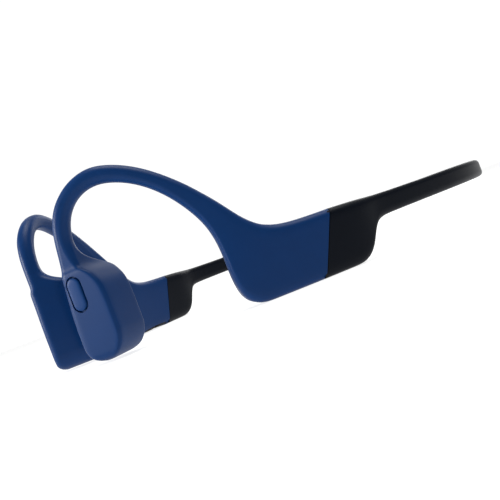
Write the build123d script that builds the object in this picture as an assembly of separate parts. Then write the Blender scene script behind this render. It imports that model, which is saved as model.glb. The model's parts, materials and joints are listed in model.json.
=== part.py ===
"""Bone conduction headphones: neckband, two pods, two ear hooks and two transducers.

Millimetres, +Z up, front towards -Y, the wearer's left is +X. The origin is at the middle of
the footprint, on the surface that the two pods and the two transducers stand on.

The left half is built first. A place along an arm is its arc length s, counted forwards from
where the back arc ends, and its offset outwards from the arm's middle surface.
"""
from build123d import *
import math
import os

os.makedirs("parts", exist_ok=True)

# ---------------------------------------------------------------- driving dimensions
# plan of the band and the arms
BACK_RADIUS = 56.0
SIDE_RADIUS = 142.0
BACK_CENTRE_Y = 23.18
SIDE_CENTRE_X = BACK_RADIUS - SIDE_RADIUS

# neckband
BAND_Z = 13.0
BAND_HEIGHT = 5.8
BAND_THICKNESS = 3.6
BAND_CORNER = 1.5
BAND_WIRE_DIAMETER = 1.2
BAND_WIRE_RISE = 0.6
BAND_LEAD_DIAMETER = 1.0
BAND_LEAD_DROP = 1.1
BORE_CLEARANCE = 0.05
BAND_WIRE_TAIL = 4.5
BAND_LEAD_TAIL = 7.5

# pod
POD_REAR = 26.0
POD_FRONT = 73.5
POD_BOTTOM_REAR = 37.5
POD_HEEL = 29.3
POD_TOP = 17.35
POD_SHOULDER = 61.6
POD_NECK_Z = 19.0
POD_THICKNESS = 8.6
POD_WALL = 1.1
POD_TAPER_REAR = 37.0
POD_TAPER_FRONT = 66.0
POD_EDGE = 2.0
END_CORNER = 2.3
BOTTOM_REAR_CORNER = 3.0
BOTTOM_FRONT_CORNER = 5.5
NECK_CORNER = 14.0
SHOULDER_CORNER = 8.0
HEEL_CORNER = 4.0
NECK_LENGTH = 5.0
NECK_DEPTH = 8.0
POD_CAVITY_REAR = 31.5
POD_SPLIT_TOP = 43.6
POD_SPLIT_BOTTOM = 51.3
SEAL_THICKNESS = 0.6
SEAL_RECESS = 0.25
TRAY_THICKNESS = 0.8
TRAY_S = 53.0
TRAY_LENGTH = 25.0
TRAY_TOP = 13.6
TRAY_CORNER = 1.0
TRAY_CLEARANCE = 0.3

# ear hook
HOOK_PLANE_S = 91.5
HOOK_PLANE_OFFSET = -0.85
HOOK_THICKNESS = 4.6
HOOK_WIDTH = 5.0
HOOK_EDGE = 1.7
ARCH_S = 97.6
ARCH_Z = 32.9
ARCH_RADIUS = 13.3
ARCH_TURN = 105.0
ARM_RADIUS = 30.0
ARM_TURN = 155.0
HOOK_WIRE_DIAMETER = 1.1
HOOK_LEAD_DIAMETER = 0.9
HOOK_BORE_SPACING = 1.0
ANCHOR_LENGTH = 4.0
ANCHOR_WIDTH = 2.6
ANCHOR_DEPTH = 3.0
BAND_ANCHOR_HEIGHT = 2.2
WIRE_TAIL = 14.0
LEAD_TAIL = 15.0

# transducer
CAPSULE_SHIFT = 1.5
CAPSULE_REACH = -3.6
CAPSULE_TURN = 29.0
CAPSULE_WIDTH = 13.5
CAPSULE_HEIGHT = 26.4
CAPSULE_DEPTH = 12.0
CAPSULE_LOW_CORNER = 5.5
CAPSULE_HIGH_CORNER = 9.0
CAPSULE_BACK_CORNER = 2.5
CAPSULE_EDGE = 2.2
CAPSULE_WALL = 1.1
FOOT_SINK = 1.4
FOOT_BED = 1.0
LEAD_DROP = 0.3
LID_THICKNESS = 1.4
LID_MARGIN = 0.9
LID_TOP_GAP = 0.25
PAD_MARGIN = 1.9
PAD_PROUD = 0.8
PAD_SINK = 0.5

# driver inside the transducer, listed outwards from the skin side
DRIVER_WIDTH = 9.6
DRIVER_HEIGHT = 16.0
DRIVER_Z = 10.8
DRIVER_CORNER = 1.0
BOSS_THICKNESS = 1.0
BOSS_WIDTH = 4.8
BOSS_HEIGHT = 5.3
SPRING_THICKNESS = 0.6
COIL_HEIGHT = 2.0
COIL_WALL = 1.2
COIL_CORNER = 0.6
POLE_THICKNESS = 0.8
YOKE_WALL = 0.9
DRIVER_GAP = 0.3
DRIVER_CLEARANCE = 1.0

# multifunction button on the left lid
BUTTON_WIDTH = 4.0
BUTTON_HEIGHT = 8.7
BUTTON_GROOVE = 0.5
BUTTON_SHIFT = 1.8
BUTTON_DROP = 7.2
BUTTON_LAP = 0.6
BUTTON_PROUD = 0.3
BUTTON_FLANGE = 0.4
BUTTON_TRAVEL = 0.4
SWITCH_HEIGHT = 0.6
SWITCH_SIZE = 2.6
SWITCH_BOARD = 0.4
RUNNING_GAP = 0.05
POCKET_GAP = 0.2
POCKET_CORNER = 1.2
SMALL_CORNER = 0.4

# battery and boards
BATTERY_LENGTH = 22.0
BATTERY_HEIGHT = 11.0
BATTERY_SWELL = 0.85
BATTERY_CORNER = 1.2
BATTERY_S = 55.0
BATTERY_Z = 7.2
GUARD_LENGTH = 4.6
GUARD_GAP = 0.3
GUARD_HEIGHT = 8.0
BOARD_THICKNESS = 0.8
BOARD_LENGTH = 25.0
BOARD_HEIGHT = 9.0
BOARD_S = 53.0
BOARD_Z = 8.4
BOARD_CORNER = 0.8
CAN_LENGTH = 11.0
CAN_WIDTH = 7.0
CAN_HEIGHT = 1.4
CAN_WALL = 0.2
CAN_SHIFT = 4.0
AERIAL_LENGTH = 6.0
AERIAL_WIDTH = 1.6
AERIAL_HEIGHT = 1.0
AERIAL_SHIFT = 10.0

# voice microphone behind the outer wall of the right pod
MICROPHONE_S = 69.5
MICROPHONE_Z = 7.0
MICROPHONE_SIZE = 2.6
MICROPHONE_GAP = 0.45
BOOT_SIZE = 3.8
BOOT_DEPTH = 2.0
BOOT_LIP = 0.5
SOUND_HOLE = 0.8

# volume buttons under the right pod
VOLUME_LENGTH = 6.2
VOLUME_WIDTH = 2.8
VOLUME_PITCH = 7.4
VOLUME_S = 59.2
VOLUME_RECESS = 0.6
VOLUME_SKIN = 0.15
VOLUME_FLANGE = 0.5
VOLUME_TRAVEL = 0.35
VOLUME_CORNER = 1.0
VOLUME_MARGIN = 0.4
VOLUME_LAP = 0.4

# charging port and lamp under the rear end of the right pod
PORT_S = 43.6
PORT_LENGTH = 7.6
PORT_WIDTH = 3.6
PORT_RECESS = 0.4
PORT_TOP = 1.9
PORT_LAP = 0.6
PORT_PITCH = 2.6
CONTACT_DIAMETER = 1.1
CONTACT_PROUD = 0.05
CONTACT_TAIL = 1.0
MAGNET_PITCH = 5.6
PORT_MAGNET_LENGTH = 1.8
PORT_MAGNET_WIDTH = 2.6
PORT_MAGNET_HEIGHT = 1.2
LAMP_S = 49.2
LAMP_DIAMETER = 1.2
LAMP_RECESS = 0.1
LAMP_TOP = 2.2

UP = (0, 0, 1)
BIG = 60.0
OVERRUN = 6.0
HAIR = 0.01


# ---------------------------------------------------------------- places along the left arm
def side_point(s, offset=0.0):
    """Plan point at arc length s forwards along the left arm, offset outwards."""
    turn = s / SIDE_RADIUS
    reach = SIDE_RADIUS + offset
    return SIDE_CENTRE_X + reach * math.cos(turn), BACK_CENTRE_Y - reach * math.sin(turn)


def side_plane(s, offset=0.0):
    """Upright plane that touches the arm at s: x rearwards, y up, z outwards."""
    turn = s / SIDE_RADIUS
    x, y = side_point(s, offset)
    rearwards = (math.sin(turn), math.cos(turn), 0)
    outwards = (math.cos(turn), -math.sin(turn), 0)
    return Plane(origin=(x, y, 0), x_dir=rearwards, z_dir=outwards)


def block(plane, x, y, low, high, width, height, corner=0.0):
    """Rounded rectangle on a plane, from low to high along the plane's normal."""
    if corner:
        outline = RectangleRounded(width, height, corner)
    else:
        outline = Rectangle(width, height)
    return plane * Pos(x, y, low) * extrude(outline, high - low)


def arm_shell(outline, low, high):
    """Cut a solid down to the stretch between two offsets from the arm's middle surface."""
    centre = Pos(SIDE_CENTRE_X, BACK_CENTRE_Y, 0)
    outer = centre * Cylinder(SIDE_RADIUS + high, 2 * BIG)
    inner = centre * Cylinder(SIDE_RADIUS + low, 2 * BIG)
    return outline & (outer - inner)


# ---------------------------------------------------------------- neckband
def band_run(section_shape, rise, front):
    """Carry a section from the middle of the back to s = front on the left arm."""
    start = Plane(origin=(BACK_RADIUS, BACK_CENTRE_Y, BAND_Z + rise), x_dir=(1, 0, 0), z_dir=(0, -1, 0))
    section = start * section_shape
    back_axis = Axis((0, BACK_CENTRE_Y, 0), UP)
    side_axis = Axis((SIDE_CENTRE_X, BACK_CENTRE_Y, 0), (0, 0, -1))
    back = revolve(section, back_axis, 90)
    arm = revolve(section, side_axis, math.degrees(front / SIDE_RADIUS))
    return back + arm


BAND_WIRE_END = POD_CAVITY_REAR + BAND_WIRE_TAIL
BAND_LEAD_END = POD_CAVITY_REAR + BAND_LEAD_TAIL


def band_wire(clearance=0.0):
    return band_run(Circle(BAND_WIRE_DIAMETER / 2 + clearance), BAND_WIRE_RISE, BAND_WIRE_END)


def band_lead(clearance=0.0):
    return band_run(Circle(BAND_LEAD_DIAMETER / 2 + clearance), -BAND_LEAD_DROP, BAND_LEAD_END)


# ---------------------------------------------------------------- ear hook
FOOT_Z = CAPSULE_HEIGHT - FOOT_SINK
CAPSULE_ROOF = FOOT_Z - FOOT_BED
HOOK_LEAD_END = FOOT_Z - LEAD_DROP
hook_plane = side_plane(HOOK_PLANE_S, HOOK_PLANE_OFFSET)
turn_back = math.radians(ARCH_TURN)
ARM_S = ARCH_S + (ARCH_RADIUS - ARM_RADIUS) * math.cos(turn_back)
ARM_Z = ARCH_Z + (ARCH_RADIUS - ARM_RADIUS) * math.sin(turn_back)


def arch_point(angle, offset=0.0):
    """Point on the front arc of the hook, angle from the front leg, offset from its middle."""
    reach = ARCH_RADIUS + offset
    turn = math.radians(angle)
    s = ARCH_S + reach * math.cos(turn)
    return HOOK_PLANE_S - s, ARCH_Z + reach * math.sin(turn)


def arm_point(angle, offset=0.0, tail=0.0):
    """Point on the rear arc of the hook, or straight on below it by tail."""
    reach = ARM_RADIUS + offset
    turn = math.radians(angle)
    s = ARM_S + reach * math.cos(turn) - tail * math.sin(turn)
    return HOOK_PLANE_S - s, ARM_Z + reach * math.sin(turn) + tail * math.cos(turn)


def hook_arcs(offset):
    """The two tangent arcs of the hook at an offset from its middle line."""
    front = [arch_point(angle, offset) for angle in (0, ARCH_TURN / 2, ARCH_TURN)]
    rear = [arm_point(angle, offset) for angle in (ARCH_TURN, (ARCH_TURN + ARM_TURN) / 2, ARM_TURN)]
    return ThreePointArc(*front), ThreePointArc(*rear)


def hook_body():
    """Hook of one width, from its butt on the pod to its foot in the transducer."""
    half = HOOK_WIDTH / 2
    front_out, rear_out = hook_arcs(half)
    front_in, rear_in = hook_arcs(-half)
    foot_out = (arch_point(0, half)[0], FOOT_Z)
    foot_in = (arch_point(0, -half)[0], FOOT_Z)
    edges = [
        Line(foot_out, arch_point(0, half)),
        front_out,
        rear_out,
        Line(arm_point(ARM_TURN, half), arm_point(ARM_TURN, -half)),
        rear_in,
        front_in,
        Line(arch_point(0, -half), foot_in),
        Line(foot_in, foot_out),
    ]
    body = extrude(hook_plane * make_face(edges), HOOK_THICKNESS / 2, both=True)
    sides = [hook_plane.offset(reach) for reach in (-HOOK_THICKNESS / 2, HOOK_THICKNESS / 2)]
    long_edges = []
    for side in sides:
        for edge in body.edges():
            ends = [side.to_local_coords(edge @ place).Z for place in (0, 0.5, 1)]
            straight_across = edge.length < HOOK_WIDTH * 1.01
            if max(abs(z) for z in ends) < 1e-4 and not straight_across:
                long_edges.append(edge)
    return fillet(long_edges, HOOK_EDGE)


def hook_run(diameter, offset, tail, foot):
    """Round wire through the hook, with a straight tail into the pod and one down to foot."""
    front, rear = hook_arcs(offset)
    top = arch_point(0, offset)
    path = Wire([
        Line((top[0], foot), top).edge(),
        front.edge(),
        rear.edge(),
        Line(arm_point(ARM_TURN, offset), arm_point(ARM_TURN, offset, tail)).edge(),
    ])
    start = Plane(origin=(top[0], foot, 0), x_dir=(1, 0, 0), z_dir=(0, 1, 0))
    return hook_plane * sweep(start * Circle(diameter / 2), path=path)


butt_middle = arm_point(ARM_TURN)
butt_ahead = arm_point(ARM_TURN, 0.0, 1.0)
butt_from = hook_plane.from_local_coords((butt_middle[0], butt_middle[1], 0))
butt_to = hook_plane.from_local_coords((butt_ahead[0], butt_ahead[1], 0))
butt_plane = Plane(origin=butt_from, z_dir=butt_to - butt_from)


# ---------------------------------------------------------------- pod
POD_PLANE_S = (POD_REAR + POD_FRONT) / 2
NECK_END = POD_FRONT + NECK_LENGTH
HALF_POD = POD_THICKNESS / 2
TRAY_FACE = POD_WALL - HALF_POD + RUNNING_GAP + TRAY_THICKNESS
pod_plane = side_plane(POD_PLANE_S)


def pod_half(s):
    """Half the pod's thickness at s: it narrows to the band behind and to the hook in front."""
    if s < POD_TAPER_REAR:
        share = (s - POD_REAR) / (POD_TAPER_REAR - POD_REAR)
        return BAND_THICKNESS / 2 + (HALF_POD - BAND_THICKNESS / 2) * share
    if s > POD_TAPER_FRONT:
        share = (s - POD_TAPER_FRONT) / (NECK_END - POD_TAPER_FRONT)
        return HALF_POD + (HOOK_THICKNESS / 2 - HALF_POD) * share
    return HALF_POD


def pod_plan(inset, rear, front):
    """Plan outline of the pod between two places, pulled in by inset, as an upright prism."""
    stations = [rear, POD_TAPER_REAR, POD_TAPER_FRONT, front]
    outer = [side_point(s, pod_half(s) - inset) for s in stations]
    inner = [side_point(s, inset - pod_half(s)) for s in stations]
    middle = (POD_TAPER_REAR + POD_TAPER_FRONT) / 2
    edges = [
        Line(outer[0], outer[1]),
        ThreePointArc(outer[1], side_point(middle, HALF_POD - inset), outer[2]),
        Line(outer[2], outer[3]),
        Line(outer[3], inner[3]),
        Line(inner[3], inner[2]),
        ThreePointArc(inner[2], side_point(middle, inset - HALF_POD), inner[1]),
        Line(inner[1], inner[0]),
        Line(inner[0], outer[0]),
    ]
    return extrude(make_face(edges), BIG)


def pod_side():
    """Side outline of the whole pod, running past the band's end and past the hook's butt."""
    band_top = BAND_Z + BAND_HEIGHT / 2
    band_bottom = BAND_Z - BAND_HEIGHT / 2
    past = POD_REAR - OVERRUN
    neck_in = arm_point(ARM_TURN, -HOOK_WIDTH / 2, -OVERRUN)
    neck_out = arm_point(ARM_TURN, HOOK_WIDTH / 2, -OVERRUN)
    corners = [
        (POD_BOTTOM_REAR, 0, BOTTOM_REAR_CORNER),
        (POD_FRONT, 0, BOTTOM_FRONT_CORNER),
        (POD_FRONT, POD_NECK_Z, NECK_CORNER),
        (HOOK_PLANE_S - neck_in[0], neck_in[1], END_CORNER),
        (HOOK_PLANE_S - neck_out[0], neck_out[1], END_CORNER),
        (POD_SHOULDER, POD_TOP, SHOULDER_CORNER),
        (past, band_top, END_CORNER),
        (past, band_bottom, END_CORNER),
        (POD_HEEL, band_bottom, HEEL_CORNER),
    ]
    local = [(POD_PLANE_S - s, z) for s, z, _ in corners]
    return make_face(FilletPolyline(*local, radius=[radius for _, _, radius in corners], close=True))


def pod_outside():
    """Outer shape of a pod: a bent slab with rounded rims, narrowed in plan at both ends."""
    slab = arm_shell(extrude(pod_plane * pod_side(), BIG / 4, both=True), -HALF_POD, HALF_POD)
    rims = []
    for edge in slab.edges():
        start, finish = [pod_plane.to_local_coords(edge @ place).Z for place in (0, 1)]
        if abs(start - finish) < HALF_POD:
            rims.append(edge)
    body = fillet(rims, POD_EDGE) & pod_plan(0.0, POD_REAR, NECK_END)
    return split(body, bisect_by=butt_plane, keep=Keep.TOP)


def pod_slab(inset, rear, front):
    """The pod's shape with square rims, pulled in by inset all round."""
    side = offset(pod_side(), -inset, kind=Kind.INTERSECTION)
    return extrude(pod_plane * side, BIG / 4, both=True) & pod_plan(inset, rear, front)


def pod_inside():
    """Hollow of the pod, kept out of the neck."""
    hollow = pod_slab(POD_WALL, POD_CAVITY_REAR, POD_FRONT - POD_WALL)
    return split(hollow, bisect_by=butt_plane.offset(NECK_DEPTH), keep=Keep.TOP)


def split_plane(shift):
    """Slanted plane between the front shell and the rear end of the pod, moved forwards."""
    top = pod_plane.from_local_coords((POD_PLANE_S - POD_SPLIT_TOP, POD_TOP, 0))
    bottom = pod_plane.from_local_coords((POD_PLANE_S - POD_SPLIT_BOTTOM, 0, 0))
    forwards = pod_plane.z_dir.cross(top - bottom).normalized()
    return Plane(origin=bottom + forwards * shift, z_dir=forwards)


# ---------------------------------------------------------------- transducer
capsule_turn = math.radians(CAPSULE_TURN)
capsule_along = Vector(math.cos(capsule_turn), math.sin(capsule_turn), 0)
capsule_out = Vector(math.sin(capsule_turn), -math.cos(capsule_turn), 0)
foot = hook_plane.from_local_coords((arch_point(0)[0], 0, 0))
capsule_middle = foot + capsule_along * CAPSULE_SHIFT + capsule_out * CAPSULE_REACH
capsule_plane = Plane(origin=capsule_middle, x_dir=capsule_along, z_dir=capsule_out)
BUTTON_Z = CAPSULE_HEIGHT - BUTTON_DROP
SKIN_FACE = -CAPSULE_DEPTH / 2
LID_FACE = CAPSULE_DEPTH / 2
SKIN_WALL = SKIN_FACE + CAPSULE_WALL
LID_BACK = LID_FACE - LID_THICKNESS
BOSS_TOP = SKIN_WALL + BOSS_THICKNESS
SPRING_TOP = BOSS_TOP + SPRING_THICKNESS
COIL_TOP = SPRING_TOP + COIL_HEIGHT
POLE_LOW = SPRING_TOP + DRIVER_GAP
POLE_TOP = POLE_LOW + POLE_THICKNESS
BUTTON_TOP = LID_BACK - RUNNING_GAP
BUTTON_LOW = BUTTON_TOP - BUTTON_FLANGE
SWITCH_TOP = BUTTON_LOW - BUTTON_TRAVEL - RUNNING_GAP
SWITCH_LOW = SWITCH_TOP - SWITCH_HEIGHT
SWITCH_BOARD_LOW = SWITCH_LOW - SWITCH_BOARD
YOKE_TOP = SWITCH_BOARD_LOW - DRIVER_CLEARANCE
MAGNET_TOP = YOKE_TOP - YOKE_WALL


def capsule_prism(inset, low, high, top=BIG):
    """The case's side outline pulled in by inset, from low to high and no higher than top."""
    half = CAPSULE_WIDTH / 2 - inset
    ceiling = CAPSULE_HEIGHT - inset
    points = [(-half, inset), (half, inset), (half, ceiling), (-half, ceiling)]
    radii = [CAPSULE_LOW_CORNER, CAPSULE_LOW_CORNER, CAPSULE_HIGH_CORNER, CAPSULE_BACK_CORNER]
    radii = [max(radius - inset, SMALL_CORNER) for radius in radii]
    outline = make_face(FilletPolyline(*points, radius=radii, close=True))
    body = capsule_plane * Pos(0, 0, low) * extrude(outline, high - low)
    if top < ceiling:
        body = body - capsule_block(0, top + BIG / 2, low, high, BIG, BIG)
    return body


def capsule_outside():
    """Rounded case of a transducer before it is hollowed."""
    body = capsule_prism(0.0, SKIN_FACE, LID_FACE)
    rims = []
    for edge in body.edges():
        heights = [capsule_plane.to_local_coords(edge @ place).Z for place in (0, 0.5, 1)]
        if max(heights) - min(heights) < 1e-4:
            rims.append(edge)
    return fillet(rims, CAPSULE_EDGE)


def capsule_block(x, z, low, high, width, height, corner=0.0):
    return block(capsule_plane, x, z, low, high, width, height, corner)


def pocket_block(low, high, width, height, corner):
    """Rounded block about the multifunction button's middle."""
    return capsule_block(-BUTTON_SHIFT, BUTTON_Z, low, high, width, height, corner)


def pill(low, high, width, height):
    """Pill shape about the multifunction button's middle."""
    return pocket_block(low, high, width, height, width / 2 - HAIR)


def capsule_inside():
    """Hollow of the case, open on the lid side, with its roof under the hook's foot."""
    return capsule_prism(CAPSULE_WALL, SKIN_WALL, LID_BACK, CAPSULE_ROOF)


def lid_blank():
    """Outer lid, let into the case, with its top edge under the hook's foot."""
    return capsule_prism(LID_MARGIN, LID_BACK, LID_FACE, FOOT_Z - LID_TOP_GAP)


def pad_blank():
    """Soft pad on the skin side, let into the case by PAD_SINK."""
    return capsule_prism(PAD_MARGIN, SKIN_FACE - PAD_PROUD, SKIN_FACE + PAD_SINK)


# ---------------------------------------------------------------- the pieces
nodes = {}


def both_sides(name, shape):
    """A piece of the left half and its mirror image in the right half."""
    nodes[name + "_left"] = shape
    nodes[name + "_right"] = mirror(shape, about=Plane.YZ)


def on_right(name, shape):
    """A piece drawn on the left arm that only the right half has."""
    nodes[name] = mirror(shape, about=Plane.YZ)


def hook_wire(clearance=0.0):
    return hook_run(HOOK_WIRE_DIAMETER + 2 * clearance, HOOK_BORE_SPACING, WIRE_TAIL, FOOT_Z)


def hook_lead(clearance=0.0):
    return hook_run(HOOK_LEAD_DIAMETER + 2 * clearance, -HOOK_BORE_SPACING, LEAD_TAIL, HOOK_LEAD_END)


def make_neckband():
    section = RectangleRounded(BAND_THICKNESS, BAND_HEIGHT, BAND_CORNER)
    sleeve = band_run(section, 0.0, POD_REAR)
    both_sides("neckband_sleeve", sleeve - band_wire(BORE_CLEARANCE) - band_lead(BORE_CLEARANCE))
    both_sides("neckband_wire", band_wire())
    both_sides("neckband_lead", band_lead())


def make_ear_hooks():
    both_sides("ear_hook", hook_body() - hook_wire(BORE_CLEARANCE) - hook_lead(BORE_CLEARANCE))
    both_sides("hook_wire", hook_wire())
    both_sides("hook_lead", hook_lead())


def make_anchors():
    """Crimp blocks that hold the two spring wires of a side in its pod."""
    x, z = arm_point(ARM_TURN, HOOK_BORE_SPACING, WIRE_TAIL - ANCHOR_LENGTH / 2)
    upright = Rot(0, 0, 180 - ARM_TURN)
    room = pod_slab(POD_WALL + RUNNING_GAP, POD_CAVITY_REAR, POD_FRONT - POD_WALL)
    crimp = hook_plane * Pos(x, z, 0) * upright * Box(ANCHOR_WIDTH, ANCHOR_LENGTH, ANCHOR_DEPTH)
    both_sides("hook_wire_anchor", (crimp & room) - hook_wire())
    middle = side_plane(BAND_WIRE_END - ANCHOR_LENGTH / 2)
    height = BAND_Z + BAND_WIRE_RISE
    crimp = middle * Pos(0, height, 0) * Box(ANCHOR_LENGTH, BAND_ANCHOR_HEIGHT, ANCHOR_DEPTH)
    both_sides("band_wire_anchor", (crimp & room) - band_wire())


def make_battery():
    low = TRAY_FACE + 2 * RUNNING_GAP
    high = HALF_POD - POD_WALL - BATTERY_SWELL
    bay = side_plane(BATTERY_S)
    nodes["battery"] = block(bay, 0, BATTERY_Z, low, high, BATTERY_LENGTH, BATTERY_HEIGHT, BATTERY_CORNER)
    bay = side_plane(BATTERY_S - (BATTERY_LENGTH + GUARD_LENGTH) / 2 - GUARD_GAP)
    high = low + BOARD_THICKNESS
    nodes["protection_board"] = block(bay, 0, BATTERY_Z, low, high, GUARD_LENGTH, GUARD_HEIGHT)


def upright_block(s, low, high, length, width, corner):
    """Rounded block with its length along the arm, from low to high above the ground."""
    x, y = side_point(s)
    bend = s / SIDE_RADIUS
    deck = Plane(origin=(x, y, 0), x_dir=(math.sin(bend), math.cos(bend), 0), z_dir=UP)
    return block(deck, 0, 0, low, high, length, width, corner)


def make_main_board():
    """Board of the right pod, the shield over its chip, its aerial and the voice microphone."""
    bay = side_plane(BOARD_S, TRAY_FACE + RUNNING_GAP)
    face = BOARD_THICKNESS
    on_right("main_board", block(bay, 0, BOARD_Z, 0, face, BOARD_LENGTH, BOARD_HEIGHT, BOARD_CORNER))
    can = block(bay, -CAN_SHIFT, BOARD_Z, face, face + CAN_HEIGHT, CAN_LENGTH, CAN_WIDTH, SMALL_CORNER)
    room_length = CAN_LENGTH - 2 * CAN_WALL
    room_width = CAN_WIDTH - 2 * CAN_WALL
    room = block(bay, -CAN_SHIFT, BOARD_Z, face, face + CAN_HEIGHT - CAN_WALL, room_length, room_width)
    on_right("shield_can", can - room)
    aerial = block(bay, AERIAL_SHIFT, BOARD_Z, face, face + AERIAL_HEIGHT, AERIAL_WIDTH, AERIAL_LENGTH)
    on_right("aerial", aerial)
    spot = side_plane(MICROPHONE_S)
    outer = pod_half(MICROPHONE_S) - POD_WALL - MICROPHONE_GAP
    low = outer - BOOT_DEPTH
    high = outer - BOOT_LIP
    boot = block(spot, 0, MICROPHONE_Z, low, outer, BOOT_SIZE, BOOT_SIZE, SMALL_CORNER)
    seat = block(spot, 0, MICROPHONE_Z, low, high, MICROPHONE_SIZE, MICROPHONE_SIZE)
    throat = spot * Pos(0, MICROPHONE_Z, HALF_POD) * Cylinder(SOUND_HOLE / 2, 2 * HALF_POD)
    on_right("microphone_boot", boot - seat - throat)
    size = MICROPHONE_SIZE - RUNNING_GAP
    on_right("voice_microphone", block(spot, 0, MICROPHONE_Z, low, high - RUNNING_GAP, size, size))
    return throat


def make_volume_buttons(shell):
    """Two volume buttons under the right pod, their switches and the board that carries them."""
    flange_low = POD_WALL + RUNNING_GAP
    flange_high = flange_low + VOLUME_FLANGE
    switch_low = flange_high + VOLUME_TRAVEL + RUNNING_GAP
    board_low = switch_low + SWITCH_HEIGHT
    span = VOLUME_PITCH + VOLUME_LENGTH
    strip = (span + 2 * VOLUME_MARGIN, VOLUME_WIDTH + 2 * VOLUME_MARGIN)
    shell = shell - upright_block(VOLUME_S, 0.0, VOLUME_RECESS, *strip, VOLUME_CORNER + VOLUME_MARGIN)
    switches = []
    for name, side in (("volume_up_button", 1), ("volume_down_button", -1)):
        s = VOLUME_S + side * VOLUME_PITCH / 2
        slot_length = VOLUME_LENGTH + 2 * RUNNING_GAP
        slot_width = VOLUME_WIDTH + 2 * RUNNING_GAP
        slot_corner = VOLUME_CORNER + RUNNING_GAP
        shell = shell - upright_block(s, 0.0, flange_low, slot_length, slot_width, slot_corner)
        cap = upright_block(s, VOLUME_SKIN, flange_high, VOLUME_LENGTH, VOLUME_WIDTH, VOLUME_CORNER)
        flange_length = VOLUME_LENGTH + 2 * VOLUME_LAP
        flange_width = VOLUME_WIDTH + 2 * VOLUME_LAP
        flange = upright_block(s, flange_low, flange_high, flange_length, flange_width, VOLUME_CORNER)
        on_right(name, cap + flange)
        switches.append(upright_block(s, switch_low, board_low, SWITCH_SIZE, SWITCH_SIZE, SMALL_CORNER))
    on_right("volume_switches", Compound(children=switches))
    board = upright_block(VOLUME_S, board_low, board_low + SWITCH_BOARD, span, VOLUME_WIDTH, SMALL_CORNER)
    on_right("volume_board", board)
    return shell


def make_port(end):
    """Charging port and status lamp under the rear end of the right pod."""
    lip = PORT_WIDTH / 2 - HAIR
    end = end - upright_block(PORT_S, 0.0, POD_WALL + RUNNING_GAP, PORT_LENGTH, PORT_WIDTH, lip)
    face = upright_block(PORT_S, PORT_RECESS, PORT_TOP, PORT_LENGTH, PORT_WIDTH, lip)
    flange = upright_block(PORT_S, POD_WALL, PORT_TOP, PORT_LENGTH + PORT_LAP, PORT_WIDTH + PORT_LAP, lip)
    insert = face + flange
    contacts = []
    magnets = []
    for side in (-1, 1):
        x, y = side_point(PORT_S + side * PORT_PITCH / 2)
        low = PORT_RECESS - CONTACT_PROUD
        high = PORT_TOP + CONTACT_TAIL
        contacts.append(Pos(x, y, (low + high) / 2) * Cylinder(CONTACT_DIAMETER / 2, high - low))
        spot = PORT_S + side * MAGNET_PITCH / 2
        top = PORT_TOP + PORT_MAGNET_HEIGHT
        magnet = upright_block(spot, PORT_TOP, top, PORT_MAGNET_LENGTH, PORT_MAGNET_WIDTH, SMALL_CORNER)
        magnets.append(magnet)
    for contact in contacts:
        insert = insert - contact
    on_right("charge_port", insert)
    on_right("charge_contacts", Compound(children=contacts))
    on_right("charge_magnets", Compound(children=magnets))
    x, y = side_point(LAMP_S)
    lamp = Pos(x, y, (LAMP_TOP + LAMP_RECESS) / 2) * Cylinder(LAMP_DIAMETER / 2, LAMP_TOP - LAMP_RECESS)
    on_right("status_lamp", lamp)
    return end - Pos(x, y, 0) * Cylinder(LAMP_DIAMETER / 2, 2 * LAMP_TOP)


def make_pods():
    """Front shells, rear ends, the seals between them and the trays that carry the insides."""
    inside = pod_inside()
    walls = pod_outside() - inside - hook_wire(BORE_CLEARANCE) - hook_lead(BORE_CLEARANCE)
    walls = walls - band_wire(BORE_CLEARANCE) - band_lead(BORE_CLEARANCE)
    half_seal = SEAL_THICKNESS / 2
    shell = split(walls, bisect_by=split_plane(half_seal), keep=Keep.TOP)
    end = split(walls, bisect_by=split_plane(-half_seal), keep=Keep.BOTTOM)
    ring = pod_slab(SEAL_RECESS, POD_REAR, POD_FRONT) - inside
    ring = split(ring, bisect_by=split_plane(-half_seal), keep=Keep.TOP)
    both_sides("pod_seal", split(ring, bisect_by=split_plane(half_seal), keep=Keep.BOTTOM))
    tray_low = PORT_TOP + TRAY_CLEARANCE
    middle = (tray_low + TRAY_TOP) / 2
    height = TRAY_TOP - tray_low
    tray = block(side_plane(TRAY_S), 0, middle, -BIG / 4, BIG / 4, TRAY_LENGTH, height, TRAY_CORNER)
    both_sides("pod_tray", arm_shell(tray, TRAY_FACE - TRAY_THICKNESS, TRAY_FACE))
    nodes["pod_shell_left"] = shell
    nodes["pod_end_left"] = end
    sound_hole = make_main_board()
    on_right("pod_shell_right", make_volume_buttons(shell) - sound_hole)
    on_right("pod_end_right", make_port(end))


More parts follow.
